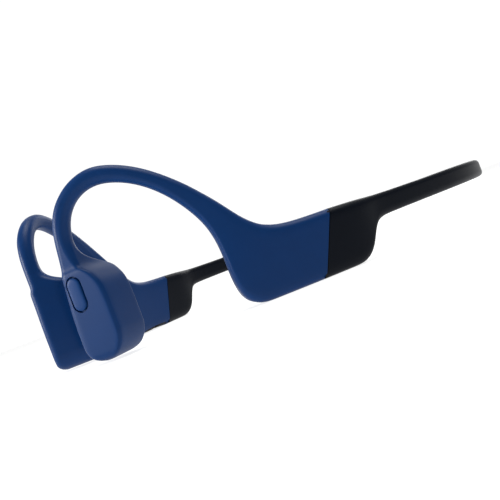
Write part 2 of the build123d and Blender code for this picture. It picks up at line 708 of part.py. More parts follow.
def make_transducers():
    """Case, lid and skin pad of a side, and the magnetic driver between them."""
    outside = capsule_outside()
    case = outside - capsule_inside() - lid_blank() - pad_blank() - hook_body() - hook_lead(BORE_CLEARANCE)
    nodes["transducer_housing_right"] = mirror(case, about=Plane.YZ)
    both_sides("transducer_pad", pad_blank())
    lid = lid_blank() & outside
    nodes["transducer_lid_right"] = mirror(lid, about=Plane.YZ)

    groove_width = BUTTON_WIDTH + 2 * BUTTON_GROOVE
    groove_height = BUTTON_HEIGHT + 2 * BUTTON_GROOVE
    nodes["transducer_lid_left"] = lid - pill(LID_BACK, LID_FACE, groove_width, groove_height)
    flange = pill(BUTTON_LOW, BUTTON_TOP, groove_width + BUTTON_LAP, groove_height + BUTTON_LAP)
    cap = pill(BUTTON_LOW, LID_FACE + BUTTON_PROUD, BUTTON_WIDTH, BUTTON_HEIGHT)
    nodes["multifunction_button"] = cap + flange
    pocket_width = groove_width + BUTTON_LAP + 2 * POCKET_GAP
    pocket_height = groove_height + BUTTON_LAP + 2 * POCKET_GAP
    pocket = pocket_block(SWITCH_BOARD_LOW, LID_BACK, pocket_width, pocket_height, POCKET_CORNER)
    nodes["transducer_housing_left"] = case - pocket
    switch = pocket_block(SWITCH_LOW, SWITCH_TOP, SWITCH_SIZE, SWITCH_SIZE, SMALL_CORNER)
    nodes["multifunction_switch"] = switch
    board_width = pocket_width - 2 * RUNNING_GAP
    board_height = pocket_height - 2 * RUNNING_GAP
    board = pocket_block(SWITCH_BOARD_LOW, SWITCH_LOW, board_width, board_height, POCKET_CORNER)
    nodes["multifunction_board"] = board


def driver_block(low, high, width, height, corner):
    """Rounded block about the driver's middle."""
    return capsule_block(0, DRIVER_Z, low, high, width, height, corner)


def make_drivers():
    """Boss on the skin wall, spring plate, coil, pole, magnet and the yoke around them."""
    width = DRIVER_WIDTH
    height = DRIVER_HEIGHT
    both_sides("driver_boss", driver_block(SKIN_WALL, BOSS_TOP, BOSS_WIDTH, BOSS_HEIGHT, DRIVER_CORNER))
    both_sides("driver_spring", driver_block(BOSS_TOP, SPRING_TOP, width, height, DRIVER_CORNER))
    coil_width = width - 2 * (YOKE_WALL + DRIVER_GAP)
    coil_height = height - 2 * (YOKE_WALL + DRIVER_GAP)
    inner_width = coil_width - 2 * COIL_WALL
    inner_height = coil_height - 2 * COIL_WALL
    coil = driver_block(SPRING_TOP, COIL_TOP, coil_width, coil_height, COIL_CORNER + COIL_WALL)
    coil = coil - driver_block(SPRING_TOP, COIL_TOP, inner_width, inner_height, COIL_CORNER)
    both_sides("voice_coil", coil)
    core_width = inner_width - 2 * DRIVER_GAP
    core_height = inner_height - 2 * DRIVER_GAP
    both_sides("driver_pole", driver_block(POLE_LOW, POLE_TOP, core_width, core_height, SMALL_CORNER))
    both_sides("driver_magnet", driver_block(POLE_TOP, MAGNET_TOP, core_width, core_height, SMALL_CORNER))
    cup = driver_block(POLE_LOW, YOKE_TOP, width, height, DRIVER_CORNER)
    hollow_width = width - 2 * YOKE_WALL
    hollow_height = height - 2 * YOKE_WALL
    cup = cup - driver_block(POLE_LOW, MAGNET_TOP, hollow_width, hollow_height, SMALL_CORNER)
    both_sides("driver_yoke", cup)


def main():
    make_neckband()
    make_ear_hooks()
    make_anchors()
    make_pods()
    make_battery()
    make_transducers()
    make_drivers()
    for name, shape in nodes.items():
        export_step(shape, "parts/" + name + ".step")


main()
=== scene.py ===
import bpy
import json
import math
import numpy as np
from mathutils import Matrix, Vector


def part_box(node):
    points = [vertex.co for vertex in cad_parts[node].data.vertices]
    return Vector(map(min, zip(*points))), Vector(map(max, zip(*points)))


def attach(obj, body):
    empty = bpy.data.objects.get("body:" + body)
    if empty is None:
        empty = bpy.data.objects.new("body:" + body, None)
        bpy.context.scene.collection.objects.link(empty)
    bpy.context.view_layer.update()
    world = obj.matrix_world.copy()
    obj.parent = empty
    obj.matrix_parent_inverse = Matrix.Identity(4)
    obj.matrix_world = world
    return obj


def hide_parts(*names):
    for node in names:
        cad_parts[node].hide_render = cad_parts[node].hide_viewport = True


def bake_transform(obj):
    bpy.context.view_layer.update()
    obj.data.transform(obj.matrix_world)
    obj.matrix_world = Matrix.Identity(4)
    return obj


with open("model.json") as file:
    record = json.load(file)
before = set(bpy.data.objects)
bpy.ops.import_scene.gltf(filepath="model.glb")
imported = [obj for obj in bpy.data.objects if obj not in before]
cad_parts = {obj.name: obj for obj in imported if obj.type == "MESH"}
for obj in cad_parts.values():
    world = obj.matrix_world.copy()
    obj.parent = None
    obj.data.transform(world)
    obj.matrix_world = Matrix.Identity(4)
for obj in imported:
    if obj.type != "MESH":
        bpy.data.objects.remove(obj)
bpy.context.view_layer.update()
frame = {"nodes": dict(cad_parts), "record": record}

# Bone conduction headphones: a blue skin on each side, from the pod over the ear hook to the
# transducer, and one black neckband from pod to pod.
# Lengths are millimetres until a mesh is made. x runs to the wearer's left, y to the rear, and
# z is the height above the surface that the set stands on.
MM = 0.001
SHARP = math.radians(38.0)
UP = (0, 0, 1)
DOWN = (0, 0, -1)

LEFT, RIGHT = 1, -1
SIDE_NAME = {LEFT: "left", RIGHT: "right"}
BODY = {LEFT: "left_half", RIGHT: "right_half"}

# ---------------------------------------------------------------- plan of the band and the arms
# q is measured along the band from the middle of the back, and s along an arm from its start.
BACK_RADIUS = 56.0
SIDE_RADIUS = 142.0
BACK_CENTRE_Y = 23.18
BACK_LENGTH = BACK_RADIUS * math.pi / 2
SIDE_CENTRE_X = BACK_RADIUS - SIDE_RADIUS

# ---------------------------------------------------------------- transducer
# Its upright frame: t runs rearwards along its width, n outwards from its middle.
CAPSULE = np.array([14.76, -73.24])
CAPSULE_TURN = math.radians(29.0)
ALONG = np.array([math.cos(CAPSULE_TURN), math.sin(CAPSULE_TURN)])
OUTWARD = np.array([math.sin(CAPSULE_TURN), -math.cos(CAPSULE_TURN)])
CAPSULE_S = 109.4
LEG_N = 3.45
FACE_N = 6.0
BOTTOM_Z = 0.5

# ---------------------------------------------------------------- key, pads and openings
# A profile is a list of (how far the outline is drawn in, height above the face).
KEY_T = -1.8
KEY_Z = 19.2
KEY_SIZE = (4.0, 8.7)
KEY_PROFILE = [
    (0.0, -0.9), (0.0, -0.02), (0.05, 0.12), (0.18, 0.22), (0.45, 0.28), (1.0, 0.31), (1.9, 0.33),
]
GROOVE = 0.5
GROOVE_DEPTH = 0.7

PAD_T = 0.5
PAD_Z = 13.2
PAD_SIZE = (9.2, 22.2)
PAD_CORNERS = (6.8, 2.4, 3.6, 5.0)
PAD_PROFILE = [
    (0.0, -1.4), (0.0, 0.35), (0.1, 0.55), (0.3, 0.7), (0.7, 0.78), (1.6, 0.8), (3.6, 0.8),
]

STRIP_S = 59.2
STRIP_SIZE = (14.4, 7.9)
STRIP_CLEARANCE = 0.1
STRIP_CORNER = 1.5
STRIP_DEPTH = 1.5
CAP_GAP = 0.15
CAP_CORNER = 1.4
CAP_PROFILE = [
    (0.0, -1.1), (0.0, -1.0), (0.2, -0.75), (0.6, -0.5), (1.2, -0.34), (2.0, -0.3), (3.4, -0.3),
]

PORT_S = 43.6
PORT_SIZE = (7.6, 3.6)
LAMP_S = 49.2
LAMP_SIZE = (1.2, 1.2)
END_PIT_DEPTH = 0.9
SOUND_S = 69.5
SOUND_Z = 7.0
SOUND_OUT = 5.0
SOUND_SIZE = (0.8, 0.8)
SOUND_DEPTH = 2.5
CUT_OVERRUN = 1.0
# A plate's corner may take up this share of the room there is for it, and is never quite sharp.
PLATE_ROUNDING = 0.99
SMALLEST_RADIUS = 0.02


# ---------------------------------------------------------------- places
def plan(q, out):
    """Plan place at distance q from the middle of the back, offset outwards.

    The back is an arc about (0, BACK_CENTRE_Y). Past a quarter turn each side, the arm is an
    arc of SIDE_RADIUS that touches it: x = cx + (R + out) cos(s / R), y = cy - (R + out) sin(s / R).
    """
    side = np.sign(q)
    s = np.abs(q) - BACK_LENGTH
    back = q / BACK_RADIUS
    bend = s / SIDE_RADIUS
    on_arm = s > 0
    x_arm = side * (SIDE_CENTRE_X + (SIDE_RADIUS + out) * np.cos(bend))
    y_arm = BACK_CENTRE_Y - (SIDE_RADIUS + out) * np.sin(bend)
    x_back = (BACK_RADIUS + out) * np.sin(back)
    y_back = BACK_CENTRE_Y + (BACK_RADIUS + out) * np.cos(back)
    return np.where(on_arm, x_arm, x_back), np.where(on_arm, y_arm, y_back)


def on_capsule(t, n):
    """Plan place t along the left transducer's width and n outwards from its middle."""
    return (
        CAPSULE[0] + ALONG[0] * t + OUTWARD[0] * n,
        CAPSULE[1] + ALONG[1] * t + OUTWARD[1] * n,
    )


def case_face(side, t, z, n):
    """Place on a face of a transducer, then the directions along its width, up and away from
    the case, which is outwards where n is above 0 and towards the skin where it is below."""
    x, y = on_capsule(t, n)
    away = math.copysign(1.0, n)
    along = (side * ALONG[0], ALONG[1], 0)
    return (side * x, y, z), along, UP, (away * side * OUTWARD[0], away * OUTWARD[1], 0)


def right_arm(s, out, z):
    """Place by the right arm at s, then the directions rearwards and outwards there, which have
    turned with the arm's arc by s / SIDE_RADIUS."""
    x, y = plan(-BACK_LENGTH - s, out)
    turn = s / SIDE_RADIUS
    rearwards = (-math.sin(turn), math.cos(turn), 0)
    outwards = (-math.cos(turn), -math.sin(turn), 0)
    return (float(x), float(y), z), rearwards, outwards


def under_right(s):
    """Place on the underside of the right arm at s: rearwards, outwards, and down as away."""
    return *right_arm(s, 0.0, 0.0), DOWN


# ---------------------------------------------------------------- curves
def smooth(low, high, value):
    """0 below low, 1 above high, and the cubic 3t^2 - 2t^3 between."""
    t = np.clip((value - low) / (high - low), 0.0, 1.0)
    return t * t * (3.0 - 2.0 * t)


def quarter(height, radius):
    """How far a quarter circle of this radius has drawn in at a height above its foot."""
    left = np.maximum(radius - height, 0.0)
    return radius - np.sqrt(radius**2 - left**2)


def spline(rows, count):
    """Natural cubic spline through evenly numbered rows: each span is the cubic whose second
    derivatives solve the usual three-term equations, so slope and bend run on through a row."""
    rows = np.asarray(rows, float)
    n = len(rows)
    inner = np.arange(1, n - 1)
    system = np.eye(n)
    system[inner, inner] = 4.0
    system[inner, inner - 1] = 1.0
    system[inner, inner + 1] = 1.0
    right = np.zeros_like(rows)
    right[inner] = 6.0 * (rows[:-2] - 2.0 * rows[1:-1] + rows[2:])
    bend = np.linalg.solve(system, right)
    t = np.linspace(0, n - 1, count)
    i = np.minimum(t.astype(int), n - 2)
    b = (t - i)[:, None]
    a = 1.0 - b
    return a * rows[i] + b * rows[i + 1] + ((a**3 - a) * bend[i] + (b**3 - b) * bend[i + 1]) / 6.0


def ring(half, low, high, radii, flat=10, arc=7):
    """Rounded rectangle, half wide each way in its first direction and from low to high in its
    second, with its own radius at each corner.

    It runs round four quarter circles, each followed by a straight side cut into flat steps.
    All sizes are columns, one row per section, and radii holds the corners in turn from
    (+, high) through (-, high) and (-, low) to (+, low).
    """
    middle = (high + low) / 2
    reach = (high - low) / 2
    corners = []
    for k, (p, q) in enumerate(((1, 1), (-1, 1), (-1, -1), (1, -1))):
        r = radii[k]
        turn = math.pi / 2 * k + np.linspace(0, math.pi / 2, arc)
        first = p * (half - r) + r * np.cos(turn)
        second = middle + q * (reach - r) + r * np.sin(turn)
        corners.append(np.stack([first, second]))
    share = np.linspace(0, 1, flat + 1)[1:-1]
    loop = []
    for corner, following in zip(corners, corners[1:] + corners[:1]):
        start = corner[..., -1:]
        end = following[..., :1]
        loop += [corner, start + (end - start) * share]
    return np.concatenate(loop, axis=-1)


# ---------------------------------------------------------------- meshes
def build(name, xyz, quads, triangles):
    """Mesh object from places in millimetres and two arrays of faces, which it turns outwards.

    The volume inside is a sixth of the sum of a . (b x c) over triangles, and is negative when
    the faces point in, so that they are then turned round.
    """
    xyz = xyz * MM
    every = np.vstack([quads[:, [0, 1, 2]], quads[:, [0, 2, 3]], triangles])
    a, b, c = xyz[every[:, 0]], xyz[every[:, 1]], xyz[every[:, 2]]
    if np.sum(a * np.cross(b, c)) < 0:
        quads = quads[:, ::-1]
        triangles = triangles[:, ::-1]
    mesh = bpy.data.meshes.new(name)
    mesh.from_pydata(xyz.tolist(), [], quads.tolist() + triangles.tolist())
    mesh.shade_smooth()
    mesh.set_sharp_from_angle(angle=SHARP)
    piece = bpy.data.objects.new(name, mesh)
    bpy.context.scene.collection.objects.link(piece)
    return piece


def tube(name, x, y, z):
    """Closed skin from a grid of sections, one a row: each column joins the next and the last
    joins the first, and each end is a fan to its own middle."""
    rows, columns = x.shape
    grid = np.stack([x, y, z], axis=-1)
    i = np.arange(rows - 1)[:, None] * columns
    j = np.arange(columns)
    k = (j + 1) % columns
    quads = np.stack([i + j, i + k, i + columns + k, i + columns + j], axis=-1).reshape(-1, 4)
    first = rows * columns
    last = (rows - 1) * columns
    near = np.stack([np.full(columns, first), k, j], axis=-1)
    far = np.stack([np.full(columns, first + 1), last + j, last + k], axis=-1)
    xyz = np.vstack([grid.reshape(-1, 3), grid[0].mean(axis=0), grid[-1].mean(axis=0)])
    return build(name, xyz, quads, np.vstack([near, far]))


def plate(name, place, size, corners, profile, flat=6, arc=9):
    """Rounded plate: its outline is drawn in by each inset of the profile at that height.

    place is the middle, the directions of its width and length, and the one away from the face.
    """
    middle, first, second, away = [np.asarray(v, float) for v in place]
    inset, height = np.array(profile, float).T[:, :, None]
    half = size[0] / 2 - inset
    reach = size[1] / 2 - inset
    limit = np.minimum(half, reach) * PLATE_ROUNDING
    radii = [np.clip(r - inset, SMALLEST_RADIUS, limit) for r in corners]
    a, b = ring(half, -reach, reach, radii, flat, arc)
    xyz = middle + a[..., None] * first + b[..., None] * second + height[..., None] * away
    return tube(name, xyz[..., 0], xyz[..., 1], xyz[..., 2])


def pit(place, size, corner, depth):
    """Cutter that goes into a face by its depth and stands proud of it by CUT_OVERRUN."""
    return plate("pit", place, size, [corner] * 4, [(0, -depth), (0, CUT_OVERRUN)])


def pill_pit(place, size, depth):
    """Cutter with fully rounded ends."""
    return pit(place, size, min(size) / 2, depth)


def carve(piece, *cutters):
    """Takes the cutters out of a piece for good and leaves its new edges crisp."""
    for cutter in cutters:
        cut = piece.modifiers.new("cut", "BOOLEAN")
        cut.operation = "DIFFERENCE"
        cut.solver = "EXACT"
        cut.object = cutter
    solid = piece.evaluated_get(bpy.context.evaluated_depsgraph_get())
    mesh = bpy.data.meshes.new_from_object(solid)
    piece.modifiers.clear()
    piece.data = mesh
    mesh.shade_smooth()
    mesh.set_sharp_from_angle(angle=SHARP)
    for cutter in cutters:
        bpy.data.objects.remove(cutter)


# ---------------------------------------------------------------- blue skin of a side
def even(s_up, z_up, s_low, z_low, reach, corner):
    """Section that reaches as far inwards as outwards, with four like corners."""
    return (s_up, z_up, s_low, z_low, -reach, reach, corner, corner, corner, corner)


# Each row is one section from the pod's rear seam to the transducer: the upper rail (s, z), the
# lower rail (s, z), the inner and outer reach from the arm's middle, and the corner radii of
# upper outer, lower outer, lower inner and upper inner. Upper turns into front on the way.
SKIN = [
    # pod
    even(43.6, 17.15, 51.3, 0.00, 4.30, 2.3),
    even(48.0, 17.20, 55.2, 0.00, 4.30, 2.3),
    even(52.4, 17.35, 59.6, 0.00, 4.30, 2.3),
    even(56.3, 17.70, 64.2, 0.00, 4.30, 2.3),
    even(59.6, 18.45, 68.2, 0.25, 4.28, 2.3),
    even(62.3, 19.70, 71.3, 1.85, 4.20, 2.3),
    even(64.6, 21.60, 73.0, 4.90, 4.05, 2.3),
    # ear hook
    even(66.7, 24.00, 73.6, 9.40, 3.80, 2.3),
    even(68.8, 26.90, 73.7, 14.40, 3.45, 2.3),
    even(71.0, 29.85, 74.1, 19.40, 3.10, 2.25),
    even(73.4, 32.75, 75.3, 24.20, 2.80, 2.2),
    even(76.2, 35.90, 77.6, 28.90, 2.55, 2.15),
    even(79.6, 39.20, 80.7, 33.40, 2.40, 2.1),
    even(83.7, 42.60, 84.4, 37.40, 2.30, 2.1),
    even(88.2, 45.50, 88.6, 40.60, 2.30, 2.1),
    even(92.9, 47.60, 93.1, 42.80, 2.30, 2.1),
    even(97.7, 48.60, 97.7, 43.80, 2.30, 2.1),
    even(102.3, 47.90, 101.9, 43.10, 2.30, 2.1),
    even(106.5, 45.80, 105.2, 41.00, 2.30, 2.1),
    even(109.9, 42.50, 107.4, 38.00, 2.30, 2.1),
    even(112.1, 38.40, 108.5, 34.80, 2.30, 2.1),
    # transducer
    (113.3, 34.00, 108.9, 32.00, -2.35, 2.25, 2.1, 2.0, 2.0, 2.1),
    (113.9, 30.20, 108.8, 29.70, -2.9, 2.15, 2.0, 1.8, 1.6, 2.3),
    (114.3, 27.80, 108.6, 27.60, -5.2, 2.05, 1.9, 1.5, 1.2, 3.0),
    (114.6, 26.10, 108.1, 26.00, -8.3, 2.05, 1.8, 1.2, 0.9, 3.8),
    (114.75, 25.00, 107.1, 25.00, -9.3, 2.40, 1.8, 1.1, 0.7, 4.3),
    (114.9, 23.80, 105.6, 23.80, -9.45, 2.55, 1.9, 1.1, 0.6, 4.5),
    (115.1, 22.20, 104.4, 22.20, -9.45, 2.55, 2.0, 1.1, 0.6, 4.5),
    (115.3, 20.20, 103.4, 20.20, -9.45, 2.55, 2.0, 1.1, 0.6, 4.5),
    (115.6, 17.60, 102.9, 17.60, -9.45, 2.55, 2.0, 1.1, 0.6, 4.5),
    (115.95, 14.00, 102.75, 14.00, -9.45, 2.55, 2.0, 1.1, 0.6, 4.5),
    (116.15, 9.50, 102.75, 9.50, -9.45, 2.55, 2.0, 1.1, 0.6, 4.5),
]
SKIN_STEPS = 360
# Between these rows the skin leaves the arm's curved plan for the transducer's straight one.
LEG_ROW = 18.0
CASE_ROW = 22.0
# Radii of the transducer's rounded bottom.
FOOT_STEPS = 30
FRONT_FOOT = 5.2
REAR_FOOT = 7.2
OUTER_FOOT = 2.4
INNER_FOOT = 1.6
# A corner may take up this share of the room there is for it.
SKIN_ROUNDING = 0.97


def skin_rows():
    """The spline through SKIN, then the rounded bottom of the transducer, whose front, rear,
    outer and inner sides each draw in along a quarter circle."""
    rows = spline(SKIN, SKIN_STEPS)
    number = np.linspace(0, len(SKIN) - 1, SKIN_STEPS)
    last = rows[-1]
    turn = np.linspace(0, math.pi / 2, FOOT_STEPS + 1)[1:]
    height = (last[1] - BOTTOM_Z) * (1.0 - np.sin(turn))
    foot = np.repeat(last[None, :], FOOT_STEPS, axis=0)
    foot[:, 0] -= quarter(height, FRONT_FOOT)
    foot[:, 2] += quarter(height, REAR_FOOT)
    foot[:, 1] = foot[:, 3] = BOTTOM_Z + height
    foot[:, 4] += quarter(height, INNER_FOOT)
    foot[:, 5] -= quarter(height, OUTER_FOOT)
    return np.vstack([rows, foot]), np.concatenate([number, np.full(FOOT_STEPS, number[-1])])


def blue_skin(side):
    """Skin through the rounded rectangles of skin_rows.

    A section's first direction runs from its lower to its upper rail and its second outwards.
    Its places are put on the arm's arc and on the transducer's straight frame, and the skin is
    the first up to LEG_ROW, the second from CASE_ROW and a smooth mix of both between.
    """
    rows, number = skin_rows()
    s_up, z_up, s_low, z_low, low, high = [rows[:, k:k + 1] for k in range(6)]
    width = np.hypot(s_up - s_low, z_up - z_low) / 2
    limit = np.minimum(width, (high - low) / 2) * SKIN_ROUNDING
    radii = [np.minimum(rows[:, k:k + 1], limit) for k in range(6, 10)]
    across, out = ring(width, low, high, radii)
    share = across / width
    s = (s_up + s_low) / 2 + share * (s_up - s_low) / 2
    z = (z_up + z_low) / 2 + share * (z_up - z_low) / 2
    x_arm, y_arm = plan(np.sign(s) * (BACK_LENGTH + s), out)
    turned = smooth(LEG_ROW, CASE_ROW, number)[:, None]
    x_case, y_case = on_capsule(CAPSULE_S - s, out + LEG_N)
    x = x_arm + (x_case - x_arm) * turned
    y = y_arm + (y_case - y_arm) * turned
    return tube("blue_skin_" + SIDE_NAME[side], side * x, y, z)


# ---------------------------------------------------------------- black band and pod ends
# Sections from the seam with the blue skin to the plain band: the upper rail (s, z), the lower
# rail (s, z), the reach to each side and the corner radius.
END = [
    (43.35, 17.15, 51.05, 0.00, 4.30, 2.3),
    (41.0, 17.05, 47.0, 0.00, 4.30, 2.3),
    (38.7, 16.95, 43.0, 0.00, 4.28, 2.3),
    (36.6, 16.85, 39.6, 0.10, 4.18, 2.3),
    (34.8, 16.75, 37.1, 0.80, 3.98, 2.3),
    (33.2, 16.65, 35.1, 2.30, 3.68, 2.2),
    (31.7, 16.55, 33.4, 4.50, 3.32, 2.1),
    (30.2, 16.45, 31.7, 6.90, 2.92, 1.9),
    (28.5, 16.35, 29.6, 8.90, 2.52, 1.75),
    (26.2, 16.25, 26.8, 9.85, 2.20, 1.6),
    (22.8, 16.15, 22.8, 10.05, 1.98, 1.5),
    (17.5, 16.05, 17.5, 10.08, 1.86, 1.45),
    (10.0, 15.95, 10.0, 10.10, 1.80, 1.45),
]
END_STEPS = 120
BACK_STEPS = 170
# The band is this much lower on top, and higher underneath, in the middle of the back.
BACK_TOP_DROP = 0.25
BACK_FOOT_RISE = 0.15


def black_neckband():
    """One skin from seam to seam: the spline through END, the back with its slightly thinner
    middle, and END again in reverse on the other side, all along the band's plan."""
    rows = spline(END, END_STEPS)
    q_up, z_up, q_low, z_low, half, corner = [rows[:, k:k + 1].copy() for k in range(6)]
    q_up += BACK_LENGTH
    q_low += BACK_LENGTH
    s_last, z_up_last, _, z_low_last, half_last, corner_last = END[-1]
    start = BACK_LENGTH + s_last
    q = np.linspace(start, -start, BACK_STEPS)[1:-1, None]
    middle = 1.0 - smooth(0.0, start, np.abs(q))
    columns = [
        (q_up, q, -q_up[::-1]),
        (z_up, z_up_last - BACK_TOP_DROP * middle, z_up[::-1]),
        (q_low, q, -q_low[::-1]),
        (z_low, z_low_last + BACK_FOOT_RISE * middle, z_low[::-1]),
        (half, np.full_like(q, half_last), half[::-1]),
        (corner, np.full_like(q, corner_last), corner[::-1]),
    ]
    q_up, z_up, q_low, z_low, half, corner = [np.vstack(c) for c in columns]
    length = np.hypot(q_up - q_low, z_up - z_low) / 2
    across, out = ring(length, -half, half, [corner] * 4)
    share = across / length
    q = (q_up + q_low) / 2 + share * (q_up - q_low) / 2
    z = (z_up + z_low) / 2 + share * (z_up - z_low) / 2
    x, y = plan(q, out)
    return tube("neckband_skin", x, y, z)


# ---------------------------------------------------------------- materials
def linear(code):
    """Linear colour of an sRGB hex code."""
    parts = [int(code[k:k + 2], 16) / 255.0 for k in (1, 3, 5)]
    return tuple(((c + 0.055) / 1.055) ** 2.4 if c > 0.04045 else c / 12.92 for c in parts) + (1.0,)


def add(tree, kind, settings=None, links=None):
    """Adds one node with its settings and links; links are (socket name, (node, output name))."""
    node = tree.nodes.new(kind)
    for key, value in (settings or {}).items():
        if key in node.inputs:
            node.inputs[key].default_value = value
        else:
            setattr(node, key, value)
    for key, (source, output) in (links or {}).items():
        tree.links.new(source.outputs[output], node.inputs[key])
    return node


# Soft-touch coatings scatter what falls on them and give back little as a reflection.
SOFT = {"Specular IOR Level": 0.16}
DULL = {"Specular IOR Level": 0.12}
# The roughness swings by this much either way, and patches of tone are so many grains wide.
ROUGHNESS_SWING = 0.04
PATCH_GRAINS = 12.0


def material(name, colour, patch, roughness, grain, depth, metallic=0.0, more=None):
    """Principled surface with a fine grain of the given size in millimetres.

    Noise in Object coordinates drives a bump of the given depth in millimetres and the
    roughness, and a broader noise runs the colour over to that of its patches.
    """
    made = bpy.data.materials.new(name)
    made.use_nodes = True
    tree = made.node_tree
    tree.nodes.clear()
    place = add(tree, "ShaderNodeTexCoord")
    scale = 1.0 / (grain * MM)
    settings = {"Scale": scale, "Detail": 3.0, "Roughness": 0.6}
    fine = add(tree, "ShaderNodeTexNoise", settings, {"Vector": (place, "Object")})
    settings = {"Scale": scale / PATCH_GRAINS, "Detail": 2.0}
    broad = add(tree, "ShaderNodeTexNoise", settings, {"Vector": (place, "Object")})
    tone = add(tree, "ShaderNodeMix", {"data_type": "RGBA"}, {"Factor": (broad, "Fac")})
    # A colour mix has its own A, B and Result among the sockets of the other data types.
    tone.inputs[6].default_value = linear(colour)
    tone.inputs[7].default_value = linear(patch)
    settings = {"To Min": roughness - ROUGHNESS_SWING, "To Max": roughness + ROUGHNESS_SWING}
    rough = add(tree, "ShaderNodeMapRange", settings, {"Value": (fine, "Fac")})
    settings = {"Strength": 1.0, "Distance": depth * MM}
    bump = add(tree, "ShaderNodeBump", settings, {"Height": (fine, "Fac")})
    settings = {"Metallic": metallic, **(more or {})}
    links = {"Normal": (bump, "Normal"), "Roughness": (rough, "Result")}
    surface = add(tree, "ShaderNodeBsdfPrincipled", settings, links)
    tree.links.new(tone.outputs[2], surface.inputs["Base Color"])
    add(tree, "ShaderNodeOutputMaterial", {}, {"Surface": (surface, "BSDF")})
    return made


# Overmoulded silicone with a soft-touch coat: deep even navy with broad, weak highlights.
BLUE = material("blue_soft_touch_silicone", "#003065", "#002D5F", 0.42, 0.3, 0.005, more=SOFT)
# The same silicone on the key, with a painted highlight: a shade lighter, so that it stands out of
# the shade in its groove.
KEY_BLUE = material("blue_soft_touch_key", "#02356D", "#023266", 0.42, 0.3, 0.004, more=SOFT)
# Bare silicone against the skin: darker, with a coarser and shallower grain.
PAD_BLUE = material("blue_satin_silicone", "#002750", "#002449", 0.42, 0.5, 0.003, more=SOFT)
# The band's soft-touch black has a cold blue cast and almost no shine.
BLACK = material("black_soft_touch_silicone", "#010611", "#020814", 0.42, 0.3, 0.005, more=DULL)
# Moulded key rubber is flatter still.
KEY_BLACK = material("black_key_rubber", "#04070C", "#05090E", 0.5, 0.25, 0.004, more=DULL)
# Fine dull pebble of a moulded part that nobody is meant to look at.
NYLON = material("moulded_black_nylon", "#101113", "#141517", 0.55, 0.2, 0.006)
# Dead matt, with the bloom of rubber.
SEAL = material("black_seal_rubber", "#060708", "#0A0A0B", 0.8, 0.4, 0.01)
# Extruded jacket: satin, with hardly any grain.
JACKET = material("extruded_lead_insulation", "#17181B", "#1B1C1F", 0.5, 0.6, 0.004)
# Drawn wire keeps a dull grey lustre.
WIRE = material("drawn_titanium_wire", "#8A8781", "#7E7B76", 0.34, 0.15, 0.002, 1.0)
# Bare steel of cans, springs and pole pieces: brighter and a little smoother than the wire.
STEEL = material("stamped_steel", "#9B9B9C", "#8F9091", 0.3, 0.2, 0.002, 1.0)
# Plating of the magnets and the microphone's can: bright, with nickel's faint yellow.
NICKEL = material("nickel_plating", "#B9B4AA", "#AFAAA0", 0.2, 0.3, 0.001, 1.0)
# Varnished windings: copper orange broken up by the turns.
COPPER = material("enamelled_copper_wire", "#B4622C", "#9C5324", 0.3, 0.12, 0.01, 1.0)
# Contact plating: bright warm yellow.
GOLD = material("gold_plated_contact", "#D8A945", "#CC9E3E", 0.22, 0.2, 0.001, 1.0)
# Glossy dark green lacquer.
MASK = material("green_solder_mask", "#0C4A26", "#0A4222", 0.35, 0.5, 0.004)
# Soft pouch foil: silver, with shallow dimples.
FOIL = material("aluminium_laminate", "#A9ABAE", "#9D9FA2", 0.32, 0.8, 0.01, 0.9)
# Fired ceramic of the aerial: off-white and smooth.
CERAMIC = material("fired_ceramic", "#D9D6CC", "#D2CFC5", 0.3, 0.3, 0.002)
# Milky light pipe: pale and a little glossy, dark when the lamp is off.
MILKY = material("milky_polycarbonate", "#C9CBC8", "#C3C5C2", 0.25, 0.4, 0.001)

FINISHES = {
    "black_silicone": BLACK,
    "black_shell": BLACK,
    "black_button": KEY_BLACK,
    "blue_silicone": BLUE,
    "blue_shell": BLUE,
    "blue_housing": BLUE,
    "blue_lid": BLUE,
    "blue_button": KEY_BLUE,
    "pad_silicone": PAD_BLUE,
    "black_plastic": NYLON,
    "seal_rubber": SEAL,
    "lead_insulation": JACKET,
    "titanium_wire": WIRE,
    "steel": STEEL,
    "nickel_plating": NICKEL,
    "copper_winding": COPPER,
    "gold_plating": GOLD,
    "circuit_board": MASK,
    "battery_pouch": FOIL,
    "ceramic": CERAMIC,
    "lamp_diffuser": MILKY,
}


def dress(piece, finish):
    """Puts a finish in every material slot of the object and leaves its mesh as it is."""
    if not piece.material_slots:
        piece.data.materials.append(None)
    for holder in piece.material_slots:
        holder.link = "OBJECT"
        holder.material = finish


# ---------------------------------------------------------------- pieces
def add_piece(piece, slot, body, *nodes):
    """Dresses a piece, hangs it on its body and lets it stand in for CAD nodes."""
    dress(piece, FINISHES[slot])
    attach(piece, body)
    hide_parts(*nodes)


def add_multifunction_key(skin):
    """Groove in the left transducer's outer face, with a soft domed key in it."""
    place = case_face(LEFT, KEY_T, KEY_Z, FACE_N)
    groove_size = [length + 2 * GROOVE for length in KEY_SIZE]
    carve(skin, pill_pit(place, groove_size, GROOVE_DEPTH))
    key = plate("multifunction_key", place, KEY_SIZE, [KEY_SIZE[0] / 2] * 4, KEY_PROFILE)
    add_piece(key, "blue_button", "multifunction_button", "multifunction_button")


def open_right_skin(skin):
    """Recess of the volume strip, and the microphone's sound hole in the pod's outer wall."""
    strip_size = [length + 2 * STRIP_CLEARANCE for length in STRIP_SIZE]
    strip = pit(under_right(STRIP_S), strip_size, STRIP_CORNER, STRIP_DEPTH)
    middle, rearwards, outwards = right_arm(SOUND_S, SOUND_OUT, SOUND_Z)
    sound = pill_pit((middle, rearwards, UP, outwards), SOUND_SIZE, SOUND_DEPTH)
    carve(skin, strip, sound)


